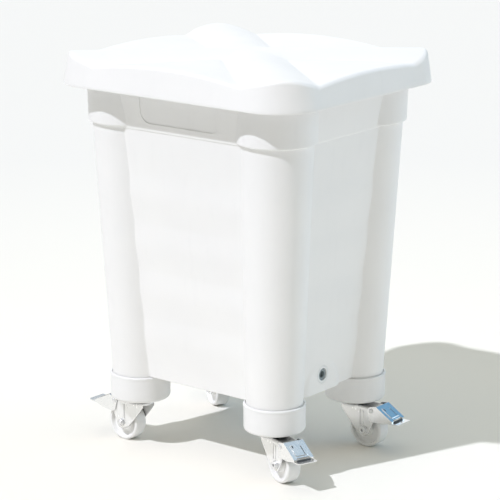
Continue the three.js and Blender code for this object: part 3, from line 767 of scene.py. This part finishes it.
def head_form():
    top = CAP_BOTTOM_Z - GAP
    outline = [(6.3, top - 3), (24.4, top - 3), (24.4, 95.2), (27.0, 95.2)]
    outline += [(27.0, top - 2), (25.0, top), (6.3, top)]
    return new_object("head_form", *turned(soften(outline, 0.9, 3), 64))


def fork_form():
    """A pressed fork: a folded channel trimmed to its side and plan outlines, with a round crown."""
    top = FORK_CROWN_Z + FORK_SHEET
    bend, inner_bend = 6.0, 3.4
    channel = [(-FORK_OUTER, 20)]
    channel += arc(-FORK_OUTER + bend, top - bend, bend, 180, 90, 6)
    channel += arc(FORK_OUTER - bend, top - bend, bend, 90, 0, 6)
    channel += [(FORK_OUTER, 20), (FORK_INNER, 20)]
    channel += arc(FORK_INNER - inner_bend, FORK_CROWN_Z - inner_bend, inner_bend, 0, 90, 5)
    channel += arc(-FORK_INNER + inner_bend, FORK_CROWN_Z - inner_bend, inner_bend, 90, 180, 5)
    channel += [(-FORK_INNER, 20)]
    fork = new_object("fork_form", *prism_u(channel[::-1], -30, 66))

    side = [(66, top + 1), (-29, top + 1)]
    side += through([(-28.5, 91.5), (-24, 86), (-17, 76), (-7, 63), (7, 47), (19, 35.5)], 5)
    side += arc(TRAIL, WHEEL_R, 13.5, 222, 330, 10)
    side += through([(55.5, 47), (60.5, 60), (64, 75), (66, 88)], 5)
    plan = arc(0, 0, 28.9, 46, 314, 40)
    plan += [(58, -FORK_OUTER - 1), (66, -14), (66, 14), (58, FORK_OUTER + 1)]
    combine(fork, [prism_v(side, -25, 25), prism_z(plan, 15, 96)], "INTERSECT")

    crown = [(7.0, FORK_CROWN_Z), (26.5, FORK_CROWN_Z), (28.0, 88.2), (29.0, 88.2), (29.0, 90.6)]
    crown += [(27.6, top), (23.4, top), (22.6, top + 1.4), (15.0, top + 1.4), (14.2, top), (7.0, top)]
    ridge = soften([(31.5, 52), (37.5, 52), (37.5, 82), (31.5, 82)], 3.0)
    ribs = [prism_v(ridge, v, v + 1.8) for v in (-FORK_OUTER - 0.9, FORK_OUTER - 0.9)]
    combine(fork, [turned(soften(crown, 0.6, 2), 64)] + ribs, "UNION")
    slot_outline = soften([(27.6, 50), (29.4, 50), (29.4, 84), (27.6, 84)], 0.8, 3)
    grooves = [prism_v(slot_outline, v, v + 2.0) for v in (-FORK_OUTER - 1.0, FORK_OUTER - 1.0)]
    combine(fork, grooves, "DIFFERENCE")
    return round_edges(fork, 0.7, 2)


def pedal_form():
    """The brake pedal: a folded channel with a sloping tread, a step down and a lip."""
    step_u, step_z = PEDAL_END[0] - 1.0, PEDAL_END[1] + 1.2
    low_z = step_z - 4.6
    slope = (step_z - PEDAL_TOP[1]) / (step_u - PEDAL_TOP[0])
    cheek = [(step_u, low_z - 1.5), (103, 65.6), (88, 61.8), (58, 61.5), (52.5, 66)]
    cheek += arc(*PIVOT, 8.5, 184, 92, 8) + [(62, 95.4), PEDAL_TOP, (step_u, step_z)]
    pedal = new_object("pedal_form", *prism_v(cheek, -PEDAL_OUTER, PEDAL_OUTER))
    under = PEDAL_SHEET / math.cos(math.atan(slope))
    hollow = [(30, 120), (70.4, 120), (70.4, PEDAL_TOP[1] - under + 0.4)]
    hollow += [(step_u - 2, step_z - under + 1.2), (step_u - 2, 50), (30, 50)]
    combine(pedal, [prism_v(hollow, -PEDAL_INNER, PEDAL_INNER)], "DIFFERENCE")

    lip = [(step_u - 2, low_z - PEDAL_SHEET), (step_u + 4, low_z - PEDAL_SHEET)]
    lip += [(PEDAL_LIP[0], PEDAL_LIP[1] - PEDAL_SHEET + 0.8), (PEDAL_LIP[0] + 0.5, PEDAL_LIP[1] + 0.8)]
    lip += [(step_u + 5, low_z), (step_u - 1, low_z)]
    near_u, far_u, half = step_u - 6, PEDAL_LIP[0] + 0.6, PEDAL_OUTER - 1.2
    plan = soften([(near_u, -half), (far_u, -half), (far_u, half), (near_u, half)], 5.0)
    tongue = new_object("tongue_form", *prism_v(lip, -PEDAL_OUTER, PEDAL_OUTER))
    combine(tongue, [prism_z(plan, 55, 75)], "INTERSECT")

    def on_tread(u, v, rise):
        """A point above the tread, u and v measured along and across it."""
        return (PEDAL_TOP[0] + u, v, PEDAL_TOP[1] + slope * u + rise)

    def slab(u0, u1, v0, v1, low_rise, high_rise, corner, draft=0.0):
        flat = soften([(u0, v0), (u1, v0), (u1, v1), (u0, v1)], corner, 3)
        middle = ((u0 + u1) / 2, (v0 + v1) / 2)
        rings = []
        for rise, shrink in ((low_rise, 0.0), (high_rise, draft)):
            rings.append([
                on_tread(*(lerp(c, m, shrink) for c, m in zip(point, middle)), rise) for point in flat
            ])
        return skin(rings)

    pads = [slab(7, 35, -15, 15, -1.0, 1.3, 3.0, 0.05)]
    combine(pedal, pads + [(as_millimetres(tongue), faces_of(tongue))], "UNION")
    bpy.data.objects.remove(tongue)
    slots = [slab(9.5, 16.5, -11.5, -8.7, -5, 4, 1.2), slab(13, 33, 7.6, 9.4, -5, 4, 0.8)]
    near_u, far_u, half = step_u - 3.2, step_u + 2.4, 16
    end_slot = soften([(near_u, -half), (far_u, -half), (far_u, half), (near_u, half)], 1.5, 3)
    slots.append(prism_z(end_slot, 55, 80))
    combine(pedal, slots, "DIFFERENCE")
    return round_edges(pedal, 0.6, 2, 30.0)


def end_shadow_strip_form():
    """A dark strip that fills the slot across the end of the tread: a painted shadow of the step down to
    the lip.
    """
    near_u, far_u, half = PEDAL_END[0] - 3.9, PEDAL_END[0] + 1.1, 15.7
    z = PEDAL_END[1] - 3.4
    outline = soften([(near_u, -half), (far_u, -half), (far_u, half), (near_u, half)], 1.4, 3)
    return round_edges(new_object("end_shadow_strip_form", *prism_z(outline, z - 3.0, z + 2.6)), 0.5, 2)


def as_millimetres(obj):
    return [tuple(c / MM for c in vertex.co) for vertex in obj.data.vertices]


def faces_of(obj):
    return [tuple(polygon.vertices) for polygon in obj.data.polygons]


def wheel_form():
    side = [(14.5, 17.4), (16.2, 15.6), (17.4, 8.2), (28.6, 7.4), (31.4, 8.4), (32.8, 14.4)]
    side += [(33.8, 15.8), (36.6, 16.0)] + arc(35.6, 11.6, 4.4, 78, 4, 6)
    lower = [(r, -h) for r, h in side]
    outline = [(9.8, -17.4)] + lower + [(40.0, 0.0)] + side[::-1] + [(9.8, 17.4)]
    return new_object("wheel_form", *lay_v(turned(outline, 96), TRAIL, WHEEL_R))


def hexagon(radius):
    return arc(0, 0, radius, 10, 310, 5)


def across(solid):
    """A piece made about Z, turned to lie across the castor at the axle."""
    points, faces = solid
    return [(TRAIL + x, h, WHEEL_R + y) for x, y, h in points], faces


def axle_bolt_form():
    face = FORK_OUTER + GAP
    barrel = [(0, -face - 6.4), (7.0, -face - 6.4), (7.6, -face - 5.8)]
    barrel += [(7.6, -face - 1.4), (0, -face - 1.4)]
    head = new_object("axle_bolt_form", *across(turned(barrel, 64)))
    combine(head, [across(prism_z(hexagon(3.4), -face - 7.0, -face - 4.0))], "DIFFERENCE")
    washer = [(0, -face - 1.5), (8.6, -face - 1.5), (9.0, -face - 1.1), (9.0, -face)]
    washer += [(5, -face), (5, face + 6.4), (4.2, face + 7.0), (0, face + 7.0)]
    combine(head, [across(turned(washer, 48))], "UNION")
    return round_edges(head, 0.35, 2, 30.0)


def axle_nut_form():
    face = FORK_OUTER + GAP
    nut = new_object("axle_nut_form", *across(prism_z(hexagon(8.2), face, face + 6.0)))
    collar = [(5.3, face), (9.0, face), (9.0, face + 3.6), (6.6, face + 6.0), (5.3, face + 6.0)]
    combine(nut, [across(turned(collar, 48))], "INTERSECT")
    return round_edges(nut, 0.3, 2, 30.0)


def pedal_pin_form():
    face = PEDAL_OUTER + GAP
    half = [(3.2, face), (4.9, face), (4.9, face + 0.5)]
    half += [(3.9, face + 1.3), (1.6, face + 1.5), (0, face + 1.5)]
    outline = [(r, -h) for r, h in half[::-1]] + half
    return new_object("pedal_pin_form", *lay_v(turned(outline, 32), *PIVOT))


def brake_shoe_form():
    inner_r, outer_r = WHEEL_R + 0.4, WHEEL_R + 5.4
    slope = (PEDAL_END[1] - PEDAL_TOP[1]) / (PEDAL_END[0] - PEDAL_TOP[0])

    def under_tread(u):
        return (u, PEDAL_TOP[1] + slope * (u - PEDAL_TOP[0]) - 3.2)

    outline = arc(TRAIL, WHEEL_R, inner_r, 32, 62, 12) + arc(TRAIL, WHEEL_R, outer_r, 62, 54, 3)
    outline += [under_tread(74), under_tread(88)] + arc(TRAIL, WHEEL_R, outer_r, 36, 32, 2)
    shoe = new_object("brake_shoe_form", *prism_v(outline, -12, 12))
    return round_edges(shoe, 0.8, 2, 30.0)


castor_place = {
    corner: Matrix.Translation((sx * FOOT_AXIS[0] * MM, sy * FOOT_AXIS[1] * MM, 0))
    @ Matrix.Rotation(math.radians(heading), 4, "Z")
    for corner, (sx, sy, heading) in CORNERS.items()
}


def lift_about_pin(corner):
    """How far a corner's pedal stands above fully pressed, as a turn about its pin."""
    pin = Matrix.Translation((PIVOT[0] * MM, 0, PIVOT[1] * MM))
    turn = Matrix.Rotation(math.radians(-PEDAL_LIFT.get(corner, 0.0)), 4, "Y")
    return pin @ turn @ pin.inverted()


CASTOR_PIECES = (
    ("swivel_cup", head_form, "swivel_head", None, SHADE_DARKENED_HEAD_STEEL, "stainless"),
    ("fork_frame", fork_form, "fork", "castor", STEEL, "stainless"),
    ("wheel_tyre", wheel_form, "wheel", "wheel", WHEEL_NYLON, "nylon"),
    ("axle_screw", axle_bolt_form, "axle_bolt", "castor", BOLT_STEEL, "stainless"),
    ("axle_lock_nut", axle_nut_form, "axle_nut", "castor", BOLT_STEEL, "stainless"),
    ("pedal_channel", pedal_form, "brake_pedal", "pedal", PEDAL_STEEL, "stainless"),
    # The end strip is a dark piece set in as a painted shadow across the end of the tread.
    ("end_shadow_strip", end_shadow_strip_form, "brake_pedal", "pedal", DARK_NYLON, "dark_plastic"),
    ("pivot_rivet", pedal_pin_form, "pedal_pin", "castor", BOLT_STEEL, "stainless"),
    ("brake_block", brake_shoe_form, "brake_shoe", "pedal", DARK_NYLON, "dark_plastic"),
)


def make_castors():
    for piece, form, node, body, material, slot in CASTOR_PIECES:
        pattern = form()
        pattern.data.materials.append(material)
        for corner, matrix in castor_place.items():
            copy = pattern.copy()
            copy.name = f"{piece}_{corner}"
            scene.collection.objects.link(copy)
            copy.matrix_world = matrix @ lift_about_pin(corner) if body == "pedal" else matrix
            owner = f"{body}_{corner}" if body else "root"
            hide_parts(f"{node}_{corner}")
            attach(copy, owner)
        bpy.data.objects.remove(pattern)


# The CAD's own meshes that stay, all but hidden inside other pieces.
KEPT_NODES = {
    "mount_bolt": BOLT_STEEL,
    "ball_ring": BOLT_STEEL,
    "wheel_bush": DARK_NYLON,
    "drain_seal": SEAL_RUBBER,
}


def dress_kept_nodes():
    for name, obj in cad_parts.items():
        for kind, material in KEPT_NODES.items():
            if name.startswith(kind):
                dress(obj, material)


# ---- Camera, light and floor ----

def make_stage():
    bpy.ops.mesh.primitive_plane_add(size=60, location=(0, 0, 0))
    floor = bpy.context.object
    floor.name = "stage_floor"
    graph = Graph("floor_tone_painted_falloff")
    distance = graph.node("ShaderNodeVectorMath", operation="LENGTH")
    graph.link(graph.place, distance.inputs[0])
    # Painted falloff: from 0.8 m to 3 m out the floor turns darker, standing for light falling off over the
    # far floor.
    far = graph.remap(distance.outputs["Value"], 0.8, 3.0, 0.0, 1.0)
    near_tone = graph.mix(graph.noise(1.5, 2.0), (0.885, 0.86, 0.80), (0.905, 0.88, 0.82))
    tone = graph.mix(far, near_tone, (0.82, 0.805, 0.775))
    rough = graph.remap(graph.noise(3.0, 2.0), 0.0, 1.0, 0.85, 0.95)
    normal = graph.bump(graph.noise(200.0, 2.0), 0.02, 0.0005)
    floor.data.materials.append(graph.finish(tone, rough, normal, Specular_IOR_Level=0.1))


CAMERA_PLACE = (3.033, -3.840, 1.6735)
CAMERA_TILT, CAMERA_TURN, CAMERA_LENS = 75.72, 38.25, 170.8


def make_camera():
    data = bpy.data.cameras.new("camera")
    data.lens = CAMERA_LENS
    data.sensor_width = 36.0
    data.clip_end = 100.0
    camera = bpy.data.objects.new("camera", data)
    camera.location = CAMERA_PLACE
    camera.rotation_euler = (math.radians(CAMERA_TILT), 0, math.radians(CAMERA_TURN))
    scene.collection.objects.link(camera)
    scene.camera = camera


SUN_FROM = (-0.208, -0.74, 1.0)
SUN_STRENGTH = 2.42
FILL_FROM = (0.6, 0.8, 0.14)
FILL_STRENGTH = 1.0
TOP_STRENGTH = 0.68
SKY_LOW, SKY_HIGH = (0.175, 0.172, 0.155), (0.44, 0.435, 0.39)
BLUE_TOWARD = (0.0, 0.77, 0.64)
BRIGHT_TOWARD = (-0.6, 0.77, 0.22)
# Each patch on the sky: its direction, the cosines of its edge and its core, and its colour.
SKY_PATCHES = (
    (BLUE_TOWARD, 0.85, 0.97, (0.13, 0.36, 0.60)),
    (BRIGHT_TOWARD, 0.93, 0.97, (1.0, 1.0, 1.0)),
)


def add_sun(name, source, strength, angle, colour):
    data = bpy.data.lights.new(name, "SUN")
    data.energy = strength
    data.angle = math.radians(angle)
    data.color = colour
    light = bpy.data.objects.new(name, data)
    light.rotation_euler = Vector(source).to_track_quat("Z", "Y").to_euler()
    scene.collection.objects.link(light)


def make_lights():
    add_sun("key_light", SUN_FROM, SUN_STRENGTH, 1.2, (0.893, 0.908, 1.0))
    add_sun("fill_light", FILL_FROM, FILL_STRENGTH, 50.0, (0.62, 0.82, 1.0))
    add_sun("top_light", (0.0, 0.0, 1.0), TOP_STRENGTH, 60.0, (1.0, 0.985, 0.90))
    world = bpy.data.worlds.new("soft_sky")
    world.use_nodes = True
    scene.world = world
    tree = world.node_tree
    background = tree.nodes["Background"]
    coords = tree.nodes.new("ShaderNodeTexCoord")
    split = tree.nodes.new("ShaderNodeSeparateXYZ")
    height = tree.nodes.new("ShaderNodeValToRGB")
    for element, colour in zip(height.color_ramp.elements, (SKY_LOW, SKY_HIGH)):
        element.color = (*colour, 1)
    tree.links.new(coords.outputs["Generated"], split.inputs["Vector"])
    tree.links.new(split.outputs["Z"], height.inputs["Fac"])
    sky = height.outputs["Color"]
    for direction, edge, core, colour in SKY_PATCHES:
        sky = add_patch(tree, coords, sky, direction, edge, core, colour)
    tree.links.new(sky, background.inputs["Color"])


def add_patch(tree, coords, sky, direction, edge, core, colour):
    """A soft round patch of colour on the sky, given by the cosines of its edge and its core."""
    toward = tree.nodes.new("ShaderNodeVectorMath")
    toward.operation = "DOT_PRODUCT"
    toward.inputs[1].default_value = direction
    share = tree.nodes.new("ShaderNodeMapRange")
    share.inputs["From Min"].default_value = edge
    share.inputs["From Max"].default_value = core
    blend = tree.nodes.new("ShaderNodeMixRGB")
    blend.inputs[2].default_value = (*colour, 1)
    tree.links.new(coords.outputs["Generated"], toward.inputs[0])
    tree.links.new(toward.outputs["Value"], share.inputs["Value"])
    tree.links.new(share.outputs["Result"], blend.inputs[0])
    tree.links.new(sky, blend.inputs[1])
    return blend.outputs["Color"]


make_tub()
make_lid()
make_foot_caps()
make_drain()
make_castors()
dress_kept_nodes()
make_camera()
make_lights()
make_stage()
scene.view_settings.view_transform = "Standard"
